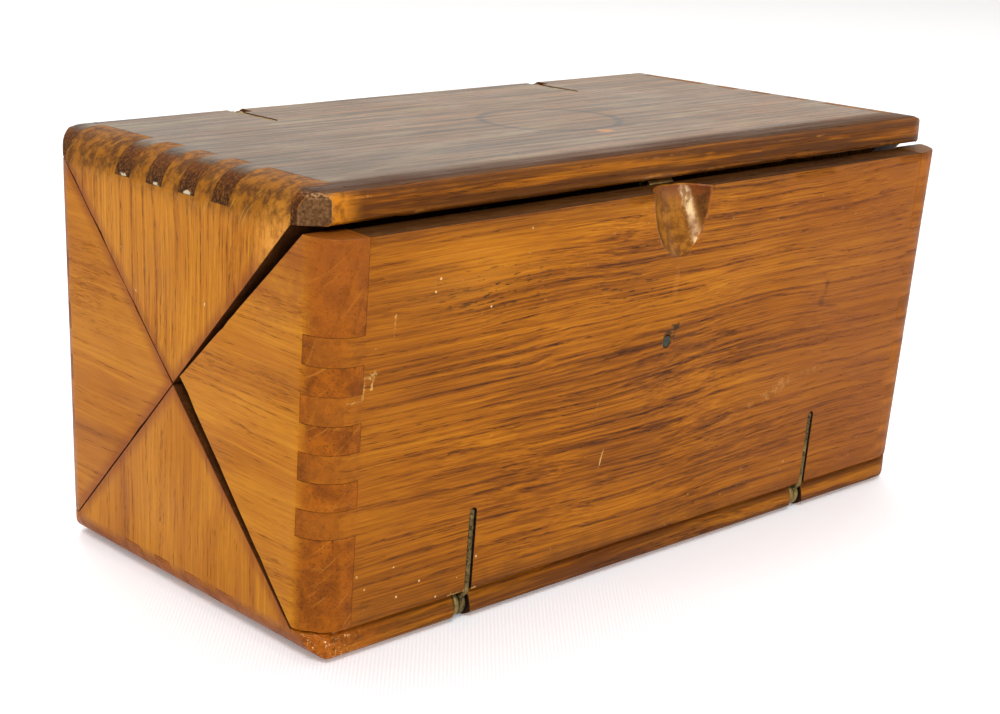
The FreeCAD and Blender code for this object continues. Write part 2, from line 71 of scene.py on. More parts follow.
# ---- shader graphs -------------------------------------------------------------------------
class Graph:
    """A short way of writing a material's nodes."""

    def __init__(self, name):
        self.material = bpy.data.materials.new(name)
        self.material.use_nodes = True
        self.tree = self.material.node_tree
        self.tree.nodes.clear()

    def node(self, kind, inputs=None, **settings):
        made = self.tree.nodes.new("ShaderNode" + kind)
        for key, value in settings.items():
            setattr(made, key, value)
        for key, value in (inputs or {}).items():
            self.put(made.inputs[key], value)
        return made

    def put(self, socket, value):
        if isinstance(value, bpy.types.NodeSocket):
            self.tree.links.new(value, socket)
        elif hasattr(value, "__len__") and len(value) == 3 and socket.type == "RGBA":
            socket.default_value = (*value, 1.0)
        else:
            socket.default_value = value

    def math(self, operation, a, b=0.0, clamp=False):
        return self.node("Math", {0: a, 1: b}, operation=operation, use_clamp=clamp).outputs[0]

    def add(self, a, b):
        return self.math("ADD", a, b)

    def sub(self, a, b):
        return self.math("SUBTRACT", a, b)

    def mul(self, a, b):
        return self.math("MULTIPLY", a, b)

    def top(self, a, b):
        return self.math("MAXIMUM", a, b)

    def vector(self, x, y, z):
        return self.node("CombineXYZ", {0: x, 1: y, 2: z}).outputs[0]

    def split(self, vector):
        return self.node("SeparateXYZ", {0: vector}).outputs

    def millimetres(self, place):
        """The x, y and z of a place, in millimetres."""
        return self.split(self.scaled(place, (1000, 1000, 1000)))

    def scaled(self, vector, factors, offset=(0, 0, 0)):
        inputs = {0: vector, 1: factors, 2: offset}
        return self.node("VectorMath", inputs, operation="MULTIPLY_ADD").outputs[0]

    def noise(self, vector, detail=2.0, roughness=0.5, scale=1.0):
        inputs = {"Vector": vector, "Scale": scale, "Detail": detail, "Roughness": roughness}
        return self.node("TexNoise", inputs).outputs[0]

    def band(self, value, start, end, out_start=0.0, out_end=1.0):
        """A smooth step from out_start to out_end as value goes from start to end."""
        inputs = {0: value, 1: start, 2: end, 3: out_start, 4: out_end}
        return self.node("MapRange", inputs, interpolation_type="SMOOTHSTEP").outputs[0]

    def ramp(self, value, stops):
        made = self.node("ValToRGB", {0: value})
        elements = made.color_ramp.elements
        while len(elements) < len(stops):
            elements.new(0.5)
        for element, (position, colour) in zip(elements, stops):
            element.position = position
            red, green, blue = colour if hasattr(colour, "__len__") else (colour, colour, colour)
            element.color = (red, green, blue, 1.0)
        return made.outputs[0]

    def mix(self, factor, a, b, blend="MIX"):
        made = self.node("Mix", data_type="RGBA", blend_type=blend)
        for index, value in ((0, factor), (6, a), (7, b)):
            self.put(made.inputs[index], value)
        return made.outputs[2]

    def toward(self, normal, direction):
        """How far the surface faces a direction of the object's own frame, -1 to 1."""
        return self.node("VectorMath", {0: normal, 1: direction}, operation="DOT_PRODUCT").outputs[1]

    def stroke(self, place, start, end, width, rough=0.5):
        """1 on a thin ragged line from start to end, both in millimetres, and 0 away from it."""
        start, end = Vector(start), Vector(end)
        run = end - start
        away = self.node("VectorMath", {0: place, 1: (1 / MM,) * 3, 2: -start},
                         operation="MULTIPLY_ADD").outputs[0]
        part = self.node("VectorMath", {0: away, 1: run / run.length_squared},
                         operation="DOT_PRODUCT").outputs[1]
        part = self.math("ADD", part, 0.0, clamp=True)
        along = self.node("VectorMath", {0: tuple(run), "Scale": part}, operation="SCALE").outputs[0]
        off = self.node("VectorMath", {0: away, 1: along}, operation="SUBTRACT").outputs[0]
        distance = self.node("VectorMath", {0: off}, operation="LENGTH").outputs[1]
        ragged = self.noise(self.scaled(place, (1600, 1600, 1600)), 2.0)
        distance = self.add(distance, self.mul(self.sub(ragged, 0.5), 2.0 * rough * width))
        return self.band(distance, 0.75 * width, 0.35 * width)

    def bump(self, height, depth_mm, strength=1.0):
        inputs = {"Height": height, "Distance": depth_mm * MM, "Strength": strength}
        return self.node("Bump", inputs).outputs[0]

    def attribute(self, name):
        return self.node("Attribute", attribute_name=name).outputs["Fac"]

    def finish(self, colour, roughness, normal=None, **constants):
        """Joins everything to a Principled shader.  Constants are set on its own sockets."""
        shader = self.node("BsdfPrincipled", {"Base Color": colour, "Roughness": roughness})
        if normal is not None:
            self.put(shader.inputs["Normal"], normal)
        for key, value in constants.items():
            self.put(shader.inputs[key.replace("_", " ")], value)
        out = self.node("OutputMaterial")
        self.tree.links.new(shader.outputs[0], out.inputs[0])
        return self.material


def spot(g, place, centre, radii):
    """1 at the centre of an ellipsoid about a point of the object, 0 at its edge, in millimetres."""
    factors = [1.0 / (r * MM) for r in radii]
    offset = [-c / r for c, r in zip(centre, radii)]
    reach = g.node("VectorMath", {0: g.scaled(place, factors, offset)}, operation="LENGTH").outputs[1]
    return g.band(reach, 1.0, 0.0)


# ---- oak -----------------------------------------------------------------------------------
OAK_DARK = (0.070, 0.018, 0.002)
OAK_BROWN = (0.210, 0.058, 0.002)
OAK_MID = (0.400, 0.128, 0.003)
OAK_LIGHT = (0.590, 0.238, 0.010)
END_BROWN = (0.140, 0.032, 0.002)
END_ORANGE = (0.370, 0.100, 0.003)
PORE = (0.040, 0.014, 0.004)
GRIME = (0.022, 0.009, 0.004)
RAW = (0.72, 0.48, 0.22)


def oak(name, axes, seed, pith, ring, tone=0.0, contrast=1.0, end_tone=0.5, gloss=0.0, marks=None):
    """Old shellacked oak, cut from a solid pattern of rings, pores and rays.

    axes are the object's axes along the grain, across it and through it.  pith is the place of the
    tree's middle, across and through, and ring the width of a year's growth, in millimetres.
    """
    g = Graph(name)
    coordinates = g.node("TexCoord")
    place, normal = coordinates.outputs["Object"], coordinates.outputs["Normal"]
    parts = g.millimetres(place)
    u, v, w = (parts[a] for a in axes)
    grain = g.vector(u, v, w)
    shift = [13.7 * seed, 31.1 * seed, 7.9 * seed]

    slow = g.sub(g.noise(g.scaled(grain, (0.007, 0.020, 0.020), shift), 1.0), 0.5)
    quick = g.sub(g.noise(g.scaled(grain, (0.030, 0.09, 0.09), shift), 2.0), 0.5)
    sway = g.add(g.mul(slow, 12.0), g.mul(quick, 2.0))
    across = g.sub(g.add(v, sway), pith[0])
    through = g.sub(g.add(w, g.mul(sway, 0.6)), pith[1])
    from_pith = g.math("SQRT", g.add(g.mul(across, across), g.mul(through, through)))
    flow = g.vector(u, g.add(v, sway), g.add(w, sway))

    uneven = g.noise(g.vector(g.mul(from_pith, 0.16 / ring), 0.0, seed), 2.0)
    phase = g.add(g.mul(from_pith, 1.0 / ring), g.mul(uneven, 4.2))
    year = g.math("FRACT", phase)
    early = g.ramp(year, [(0.0, 0.7), (0.05, 1.0), (0.14, 0.48), (0.36, 0.10), (0.94, 0.0), (1.0, 0.7)])
    patchy = g.band(g.noise(g.scaled(flow, (0.012, 0.12, 0.12), shift), 2.0), 0.36, 0.66, 0.10, 1.0)
    early = g.mul(early, patchy)

    streaks = g.noise(g.scaled(flow, (0.010, 0.85, 0.85), shift), 4.0, 0.62)
    streak = g.band(streaks, 0.51, 0.68)
    light_streak = g.band(streaks, 0.47, 0.32)
    fibres = g.noise(g.scaled(flow, (0.035, 5.0, 5.0), shift), 2.0)
    lines = g.noise(g.scaled(flow, (0.020, 2.1, 2.1), shift), 4.0, 0.65)
    pores = g.noise(g.scaled(flow, (0.26, 4.2, 4.2), shift), 1.0)
    pore = g.mul(g.band(pores, 0.58, 0.65), g.band(g.top(early, streak), 0.05, 0.70, 0.14, 1.0))
    patches = g.noise(g.scaled(flow, (0.012, 0.06, 0.06), shift), 3.0, 0.6)

    value = g.add(0.63 + tone, g.mul(g.sub(patches, 0.5), 0.85))
    value = g.sub(value, g.mul(early, 0.24 * contrast))
    value = g.sub(value, g.mul(streak, 0.24 * contrast))
    value = g.add(value, g.mul(light_streak, 0.13))
    value = g.add(value, g.mul(g.sub(fibres, 0.5), 0.40 * contrast))
    value = g.add(value, g.band(lines, 0.36, 0.66, 0.11 * contrast, -0.13 * contrast))
    colour = g.ramp(value, [(0.0, OAK_DARK), (0.33, OAK_BROWN), (0.62, OAK_MID), (1.0, OAK_LIGHT)])
    colour = g.mix(g.mul(pore, min(0.70, 0.14 + 0.6 * contrast)), colour, PORE)

    # End grain: mottled and darker, with pale rays that run out from the pith.
    angle = g.math("ARCTAN2", through, across)
    reach = abs(pith[0]) + abs(pith[1])
    rays = g.noise(g.vector(g.mul(angle, reach), g.mul(from_pith, 0.04), g.mul(u, 0.3)), 1.0, scale=0.5)
    facing = g.math("ABSOLUTE", g.toward(normal, [1.0 if a == axes[0] else 0.0 for a in range(3)]))
    end = g.band(facing, 0.06, 0.50)
    speckle = g.noise(g.scaled(place, (2300, 2300, 2300)), 3.0, 0.65)
    mottle = g.noise(g.scaled(place, (210, 210, 210), shift), 4.0, 0.68)
    end_value = g.add(g.band(mottle, 0.30, 0.70, end_tone - 0.35, end_tone + 0.35), g.mul(early, -0.22))
    end_colour = g.mix(end_value, END_BROWN, END_ORANGE)
    end_colour = g.mix(g.mul(g.band(rays, 0.60, 0.72), 0.22), end_colour, (0.50, 0.19, 0.020))
    end_colour = g.mix(g.band(speckle, 0.52, 0.74, 0.0, 0.75), end_colour, PORE)
    colour = g.mix(end, colour, end_colour)

    # Wear on the arrises, and small pale chips.
    worn = g.attribute("arris")
    rub = g.noise(g.scaled(place, (150, 150, 150), shift), 5.0, 0.68)
    colour = g.mix(g.mul(worn, g.band(rub, 0.55, 0.68, 0.0, 0.80)), colour, (0.62, 0.26, 0.045))
    colour = g.mix(g.mul(worn, g.band(rub, 0.47, 0.36, 0.0, 0.80)), colour, (0.09, 0.028, 0.006))
    cells = g.node("TexVoronoi", {"Vector": g.scaled(place, (150, 150, 150), shift), "Scale": 1.0})
    chosen = g.band(g.split(cells.outputs["Color"])[0], 0.88, 0.92)
    chip = g.mul(chosen, g.band(cells.outputs["Distance"], 0.075, 0.045))
    chip = g.mul(chip, g.band(g.noise(g.scaled(place, (1100, 1100, 1100)), 2.0), 0.46, 0.54))
    colour = g.mix(g.mul(chip, 0.8), colour, RAW)

    # Grime in the joints between the pieces. Painted shade, with a little grime, on the faces that lie in
    # shadow: the hinge kerfs, the slanted mitre faces in the gap and the front's top edge under the lid.
    joint = g.mul(g.attribute("seam"), g.band(rub, 0.34, 0.56, 0.35, 0.95))
    colour = g.mix(joint, colour, GRIME)
    # Painted shade: these faces are coloured near black, as if in shadow.
    shade_and_grime = g.attribute("shade_and_grime")
    fuzz = g.noise(g.scaled(flow, (0.25, 1.3, 1.3), shift), 4.0, 0.7)
    shade_and_grime_colour = g.mix(g.band(fuzz, 0.40, 0.68), (0.008, 0.0035, 0.002), (0.040, 0.018, 0.008))
    colour = g.mix(shade_and_grime, colour, shade_and_grime_colour)

    wobble = g.noise(g.scaled(place, (45, 45, 45), shift), 2.0)
    roughness = g.add(g.band(wobble, 0.3, 0.7, 0.34, 0.48), g.mul(pore, 0.2))
    roughness = g.add(roughness, g.add(g.mul(end, 0.06), g.mul(shade_and_grime, 0.25)))
    height = g.sub(g.mul(fibres, 0.30), g.mul(pore, 0.9))
    height = g.sub(height, g.mul(early, 0.25))
    height = g.sub(height, g.mul(streak, 0.25))
    height = g.sub(height, g.mul(g.mul(end, speckle), 0.6))
    height = g.sub(height, g.mul(chip, 1.2))
    polish = g.mul(worn, 0.25)
    look = {"colour": colour, "roughness": roughness, "height": height, "polish": polish}
    if marks is not None:
        marks(g, place, normal, look)
    polish = g.add(look["polish"], gloss)
    return g.finish(look["colour"], look["roughness"], g.bump(look["height"], 0.10),
                    Coat_Weight=polish, Coat_Roughness=0.22, Specular_IOR_Level=0.08)


def fine_noise(g, place):
    """The millimetre-sized noise that breaks up the edges of every mark."""
    return g.noise(g.scaled(place, (420, 420, 420), (1, 6, 3)), 4.0, 0.65)


def stain(g, look, amount, colour, rough=None):
    """Lays a colour over a look, by an amount from 0 to 1."""
    look["colour"] = g.mix(amount, look["colour"], colour)
    if rough is not None:
        look["roughness"] = g.add(look["roughness"], g.mul(amount, rough))


def front_marks(g, place, normal, look):
    """The thumb notch's polish, old stains, scratches and specks on the front panel."""
    x, _, z = g.millimetres(place)
    outer = g.band(g.toward(normal, (0, -1, 0)), 0.3, 0.6)
    soft = g.noise(g.scaled(place, (60, 60, 60), (4, 8, 2)), 4.0, 0.6)
    fine = fine_noise(g, place)
    streaky = g.noise(g.scaled(place, (12, 300, 420), (3, 1, 5)), 4.0, 0.65)

    # Dark along the top and bottom edges; darker and redder towards the right-hand end, partly the wood's
    # tone and partly painted shade away from the light.
    low_edge = g.add(g.add(z, g.mul(g.sub(streaky, 0.5), 9.0)), g.mul(g.sub(soft, 0.5), 16.0))
    stain(g, look, g.mul(g.mul(outer, g.band(low_edge, 14.0, 4.5)), 0.62), (0.085, 0.026, 0.005))
    top_edge = g.add(z, g.mul(g.sub(streaky, 0.5), 7.0))
    stain(g, look, g.mul(g.mul(outer, g.band(top_edge, 86.0, 92.5)), 0.45), (0.10, 0.032, 0.006))
    stain(g, look, g.mul(g.mul(outer, g.band(x, 5.0, 85.0)), 0.55), (0.25, 0.064, 0.005))
    stain(g, look, g.mul(g.mul(outer, g.band(x, -50.0, -92.0)), 0.38), (0.27, 0.080, 0.006))
    # A pale gold patch at the upper left: partly the wood's tone, partly a painted pool of light near the
    # lamp.
    gold = g.mul(spot(g, place, (-62, -53, 80), (30, 30, 11)), g.band(streaky, 0.35, 0.6, 0.1, 0.4))
    stain(g, look, g.mul(gold, outer), (0.52, 0.20, 0.018))

    # Clusters of black pores near the top left.
    dots = g.noise(g.scaled(place, (330, 1700, 1700), (7, 2, 9)), 2.0)
    where = g.top(spot(g, place, (-55, -53, 76), (34, 30, 10)),
                  spot(g, place, (-15, -53, 70), (24, 30, 7)))
    stain(g, look, g.mul(g.mul(where, g.band(dots, 0.60, 0.66)), 0.85), (0.020, 0.014, 0.008), 0.2)

    # The hook-shaped scratch and its fainter fellows: start, end and width of each.
    scratches = [
        ((-90.2, -53, 62.3), (-88.0, -53, 62.9), 1.0), ((-88.0, -53, 62.9), (-88.9, -53, 59.6), 0.55),
        ((-90.5, -53, 62.0), (-91.0, -53, 58.0), 0.45), ((-91.2, -53, 57.6), (-94.8, -53, 57.5), 0.4),
        ((-47.0, -52, 54.2), (-52.5, -52, 47.5), 0.45), ((-52.5, -52, 47.5), (-54.5, -52, 43.0), 0.3),
        ((-21.5, -52, 45.0), (-24.5, -51, 30.0), 0.45), ((-18.2, -52, 33.0), (-19.4, -51, 27.5), 0.4),
        ((-85.6, -54, 86.0), (-86.3, -54, 81.5), 0.45), ((-41.5, -54, 71.5), (-35.5, -54, 68.0), 0.5),
        ((-73.5, -54, 81.5), (-73.5, -54, 79.8), 0.4), ((-83.4, -54, 74.5), (-83.6, -54, 69.5), 0.4),
        ((-38.5, -52, 20.4), (-35.5, -52, 19.8), 0.8), ((-63.5, -50, 6.9), (-56.0, -50, 6.6), 1.0),
        ((-50.5, -54, 84.0), (-47.0, -54, 82.5), 0.5), ((-60.5, -54, 82.5), (-57.5, -54, 82.7), 0.4),
    ]
    scratch = 0.0
    for start, end, width in scratches:
        scratch = g.top(scratch, g.stroke(place, start, end, width, 0.9))
    scratch = g.mul(g.mul(scratch, outer), g.band(fine, 0.42, 0.60, 0.15, 0.75))
    stain(g, look, scratch, (0.66, 0.40, 0.12), 0.15)
    scuff = g.top(g.stroke(place, (24, -52, 31), (46, -52, 36), 1.6, 1.4),
                  g.stroke(place, (42, -52, 37), (62, -52, 39), 1.4, 1.4))
    broken = g.mul(g.band(fine, 0.45, 0.62), g.band(soft, 0.40, 0.60, 0.10, 0.45))
    scuff = g.mul(g.mul(scuff, outer), broken)
    stain(g, look, scuff, (0.56, 0.29, 0.09), 0.1)
    cells = g.node("TexVoronoi", {"Vector": g.scaled(place, (260, 260, 260), (5, 5, 5)), "Scale": 1.0})
    few = g.band(g.split(cells.outputs["Color"])[1], 0.78, 0.82)
    speck = g.mul(g.mul(few, g.band(cells.outputs["Distance"], 0.09, 0.06)), outer)
    speck = g.mul(speck, g.band(x, -30.0, -60.0, 0.15, 0.9))
    stain(g, look, speck, (0.74, 0.50, 0.22))

    # Green-black corrosion round the catch's rivet, and a knot to its right.
    rivet = g.top(spot(g, place, (0.4, -52.8, 56.6), (3.6, 9.0, 4.0)),
                  spot(g, place, (2.0, -52.8, 58.6), (2.6, 9.0, 2.4)))
    rivet = g.band(g.add(rivet, g.mul(g.sub(fine, 0.5), 2.2)), 0.45, 0.85)
    stain(g, look, g.mul(g.mul(rivet, outer), 0.85), (0.030, 0.024, 0.012), 0.2)
    knot = g.top(spot(g, place, (57.0, -53.0, 56.5), (3.0, 9.0, 3.4)),
                 spot(g, place, (58.4, -53.0, 60.0), (1.8, 9.0, 4.0)))
    knot = g.band(g.add(knot, g.mul(g.sub(fine, 0.5), 2.4)), 0.35, 1.0)
    stain(g, look, g.mul(g.mul(knot, outer), 0.50), (0.085, 0.020, 0.004))
    below = g.mul(spot(g, place, (0.6, -53.0, 69.5), (1.5, 20.0, 5.5)), outer)
    stain(g, look, g.mul(g.mul(below, g.band(fine, 0.35, 0.6, 0.3, 1.0)), 0.60), (0.58, 0.21, 0.03))

    # Inside the notch: red-brown at the top, honey below, a painted highlight as a pale streak down its
    # right side, and painted shade right of the streak and on its left wall.
    inside = g.attribute("notch")
    honey = g.mix(g.band(fine, 0.35, 0.65), (0.160, 0.052, 0.004), (0.37, 0.140, 0.012))
    stain(g, look, g.mul(inside, 0.92), honey)
    bow = g.sub(z, 80.0)
    line = g.sub(g.add(x, g.mul(g.mul(bow, bow), 0.0175)), 6.6)
    line = g.add(line, g.mul(g.sub(fine, 0.5), 2.2))
    shaded = g.mix(g.band(fine, 0.36, 0.64), (0.052, 0.018, 0.003), (0.150, 0.050, 0.005))
    stain(g, look, g.mul(g.mul(inside, g.band(line, 0.0, 2.4)), 0.85), shaded)
    red = g.mul(inside, g.band(g.add(z, g.mul(g.sub(fine, 0.5), 5.0)), 87.0, 91.5))
    stain(g, look, g.mul(red, 0.70), (0.150, 0.028, 0.004))
    # Painted highlight: a pale streak along the line, broken into flecks.
    wear_and_highlight = g.mul(g.band(line, -1.5, -0.2), g.band(line, 1.5, 0.3))
    wear_and_highlight = g.mul(g.mul(wear_and_highlight, inside), g.mul(g.band(z, 75.5, 78.0), g.band(z, 92.0, 89.5)))
    crossing = g.mul(g.band(z, 78.5, 80.5), g.band(z, 85.5, 83.0))
    flecks = g.band(g.noise(g.scaled(place, (700, 700, 450)), 3.0, 0.6), 0.40, 0.56, 0.15, 1.0)
    flecks = g.mul(flecks, g.sub(1.0, g.mul(crossing, 0.65)))
    stain(g, look, g.mul(g.mul(wear_and_highlight, flecks), 0.85), (0.86, 0.62, 0.32))
    # Painted shade on the notch's left wall.
    left_wall_shade = g.mul(inside, g.band(g.add(x, g.mul(g.sub(z, 84.0), 0.12)), -3.4, -6.4))
    stain(g, look, g.mul(left_wall_shade, 0.85), (0.055, 0.018, 0.004))
    # Out by the ends the old polish hides the joints between the pieces.
    right_end = g.mul(outer, g.band(x, 88.0, 93.0))
    old = g.mix(g.band(streaky, 0.35, 0.65), (0.20, 0.055, 0.004), (0.40, 0.120, 0.007))
    stain(g, look, g.mul(right_end, 0.80), old)
    left_end = g.mul(outer, g.band(x, -89.0, -92.5))
    old = g.mix(g.band(fine, 0.35, 0.65), (0.205, 0.056, 0.004), (0.36, 0.105, 0.006))
    stain(g, look, g.mul(left_end, 0.45), old)
    look["polish"] = g.add(look["polish"], g.mul(g.mul(inside, g.band(line, 2.0, 0.0)), 0.35))
    look["roughness"] = g.sub(look["roughness"], g.mul(inside, 0.06))
    keep = g.sub(1.0, g.mul(inside, 0.6))
    look["height"] = g.add(g.mul(look["height"], keep), g.mul(g.mul(inside, fine), 1.6))


def lid_marks(g, place, normal, look):
    """The ring left by a cup, a rubbed spot and the darkened edges of the lid."""
    x, y, z = g.millimetres(place)
    nx, ny, nz = g.split(normal)
    top = g.band(nz, 0.85, 0.97)
    fine = fine_noise(g, place)
    grit = g.noise(g.scaled(place, (1500, 1500, 1500), (2, 2, 7)), 4.0, 0.7)
    brushed = g.noise(g.scaled(place, (14, 520, 520), (3, 1, 5)), 4.0, 0.68)
    # Down the rounding the fingers turn blackish, with pale chips at their lower ends.
    down = g.band(g.add(z, g.mul(g.sub(fine, 0.5), 3.0)), 100.5, 93.0)
    fingers = g.mul(g.band(x, -92.0, -94.5), g.band(nx, 0.02, -0.25))
    dark = g.mix(g.band(grit, 0.46, 0.62), (0.026, 0.010, 0.003), (0.170, 0.060, 0.008))
    stain(g, look, g.mul(fingers, g.add(0.55, g.mul(down, 0.40))), dark, 0.15)
    for middle, size in ((18.4, 2.6), (6.0, 3.0), (-6.6, 2.8)):
        chip = spot(g, place, (-101.6, middle, 93.2), (3.0, size, 1.2))
        chip = g.band(g.add(chip, g.mul(g.sub(fine, 0.5), 3.0)), 0.55, 0.80)
        stain(g, look, g.mul(g.mul(chip, 0.85), g.band(nx, -0.5, -0.7)), (0.66, 0.56, 0.38), 0.1)
    # The front edge is dark, rubbed to orange in places; its upper rounding is darker still, painted
    # shade where it turns away from the face's sheen.
    side = g.band(ny, -0.30, -0.75)
    stain(g, look, g.mul(side, g.band(brushed, 0.42, 0.64, 0.90, 0.10)), (0.085, 0.026, 0.004))
    stain(g, look, g.mul(side, g.band(brushed, 0.55, 0.70, 0.0, 0.75)), (0.44, 0.14, 0.006))
    # Painted shade on the upper rounding.
    brow = g.mul(g.band(ny, -0.04, -0.16), g.band(ny, -0.62, -0.36))
    stain(g, look, g.mul(brow, 0.60), (0.050, 0.016, 0.004))
    # The broken corner is rough and purple-brown, with an orange rub beside it and a painted highlight on
    # its ridge.
    facet = g.mul(g.band(nx, -0.50, -0.62), g.band(ny, -0.50, -0.62))
    rub = g.mul(g.mul(side, g.sub(1.0, facet)), g.band(x, -88.0, -95.0))
    stain(g, look, g.mul(rub, g.band(fine, 0.34, 0.58, 0.35, 0.95)), (0.58, 0.20, 0.010))
    rough = g.mix(g.band(grit, 0.34, 0.72), (0.085, 0.036, 0.013), (0.215, 0.108, 0.042))
    stain(g, look, g.mul(facet, 0.9), rough, 0.15)
    # A pale spot on the ridge: a painted highlight.
    ridge_highlight = spot(g, place, (-98.5, -47.5, 99.2), (5.0, 5.0, 1.1))
    stain(g, look, g.mul(ridge_highlight, g.band(grit, 0.46, 0.62, 0.0, 0.6)), (0.60, 0.37, 0.17))
    # The face: dusty grey-brown, streaked, with the cup's ring, and darker towards the left end as
    # painted shade where its sheen is weaker.
    stain(g, look, g.mul(top, 0.45), (0.155, 0.092, 0.030))
    # Painted shade: darker towards the left end.
    stain(g, look, g.mul(g.mul(top, g.band(x, 10.0, -95.0)), 0.50), (0.060, 0.036, 0.020))
    stain(g, look, g.mul(top, g.band(brushed, 0.44, 0.60, 0.0, 0.85)), (0.036, 0.018, 0.008))
    dusty = g.noise(g.scaled(place, (30, 140, 140), (6, 2, 1)), 4.0, 0.65)
    stain(g, look, g.mul(top, g.band(dusty, 0.50, 0.66, 0.0, 0.40)), (0.27, 0.20, 0.09))
    centre, radii = (6.0, -4.5), (18.0, 17.0)
    dx, dy = g.mul(g.sub(x, centre[0]), 1 / radii[0]), g.mul(g.sub(y, centre[1]), 1 / radii[1])
    out = g.math("SQRT", g.add(g.mul(dx, dx), g.mul(dy, dy)))
    out = g.add(out, g.mul(g.sub(fine, 0.5), 0.10))
    ring = g.mul(g.band(out, 0.89, 0.96), g.band(out, 1.07, 1.00))
    ring = g.mul(g.mul(ring, top), g.band(brushed, 0.35, 0.55, 0.45, 0.90))
    stain(g, look, ring, (0.022, 0.010, 0.005))
    stain(g, look, g.mul(g.mul(g.band(out, 0.95, 0.80), top), 0.20), (0.22, 0.12, 0.055))
    hem = g.mul(g.band(g.add(y, g.mul(g.sub(brushed, 0.5), 9.0)), -39.5, -43.5), top)
    stain(g, look, g.mul(hem, g.band(brushed, 0.30, 0.62, 0.62, 0.95)), (0.062, 0.018, 0.003))
    wear_and_highlight = g.add(spot(g, place, (5.5, -24, 100), (4.8, 4.0, 9)), g.mul(g.sub(fine, 0.5), 1.0))
    stain(g, look, g.mul(g.mul(g.band(wear_and_highlight, 0.35, 0.75), top), 0.85), (0.42, 0.15, 0.02))
    look["roughness"] = g.add(look["roughness"], g.mul(top, g.band(brushed, 0.3, 0.7, 0.0, 0.16)))
    look["polish"] = g.add(look["polish"], g.mul(g.sub(top, g.mul(hem, 0.95)), 0.50))
    keep = g.add(1.0, g.mul(top, 0.8))
    look["height"] = g.sub(g.mul(look["height"], keep), g.mul(g.mul(top, brushed), 0.9))
    look["height"] = g.add(look["height"], g.mul(g.mul(g.top(fingers, facet), grit), 2.4))


def bottom_marks(g, place, normal, look):
    """The front edge of the bottom is dirty brown, rubbed to orange at its corner."""
    x = g.millimetres(place)[0]
    side = g.band(g.split(normal)[1], -0.25, -0.6)
    streaky = g.noise(g.scaled(place, (16, 400, 400), (3, 1, 5)), 4.0, 0.66)
    fine = fine_noise(g, place)
    stain(g, look, g.mul(side, g.band(streaky, 0.38, 0.62, 0.85, 0.10)), (0.085, 0.024, 0.005), 0.1)
    corner = g.mul(g.band(x, -72.0, -99.0), g.band(fine, 0.34, 0.60, 0.2, 0.85))
    stain(g, look, g.mul(side, corner), (0.44, 0.115, 0.006))
    grit = g.noise(g.scaled(place, (1100, 1100, 1100), (2, 2, 7)), 4.0, 0.7)
    near = g.mul(side, g.band(x, -86.0, -95.0))
    stain(g, look, g.mul(near, g.band(grit, 0.60, 0.66)), (0.85, 0.58, 0.30))
    stain(g, look, g.mul(near, g.band(grit, 0.42, 0.36, 0.0, 0.8)), (0.07, 0.022, 0.006))
    look["height"] = g.add(look["height"], g.mul(g.mul(near, grit), 4.0))


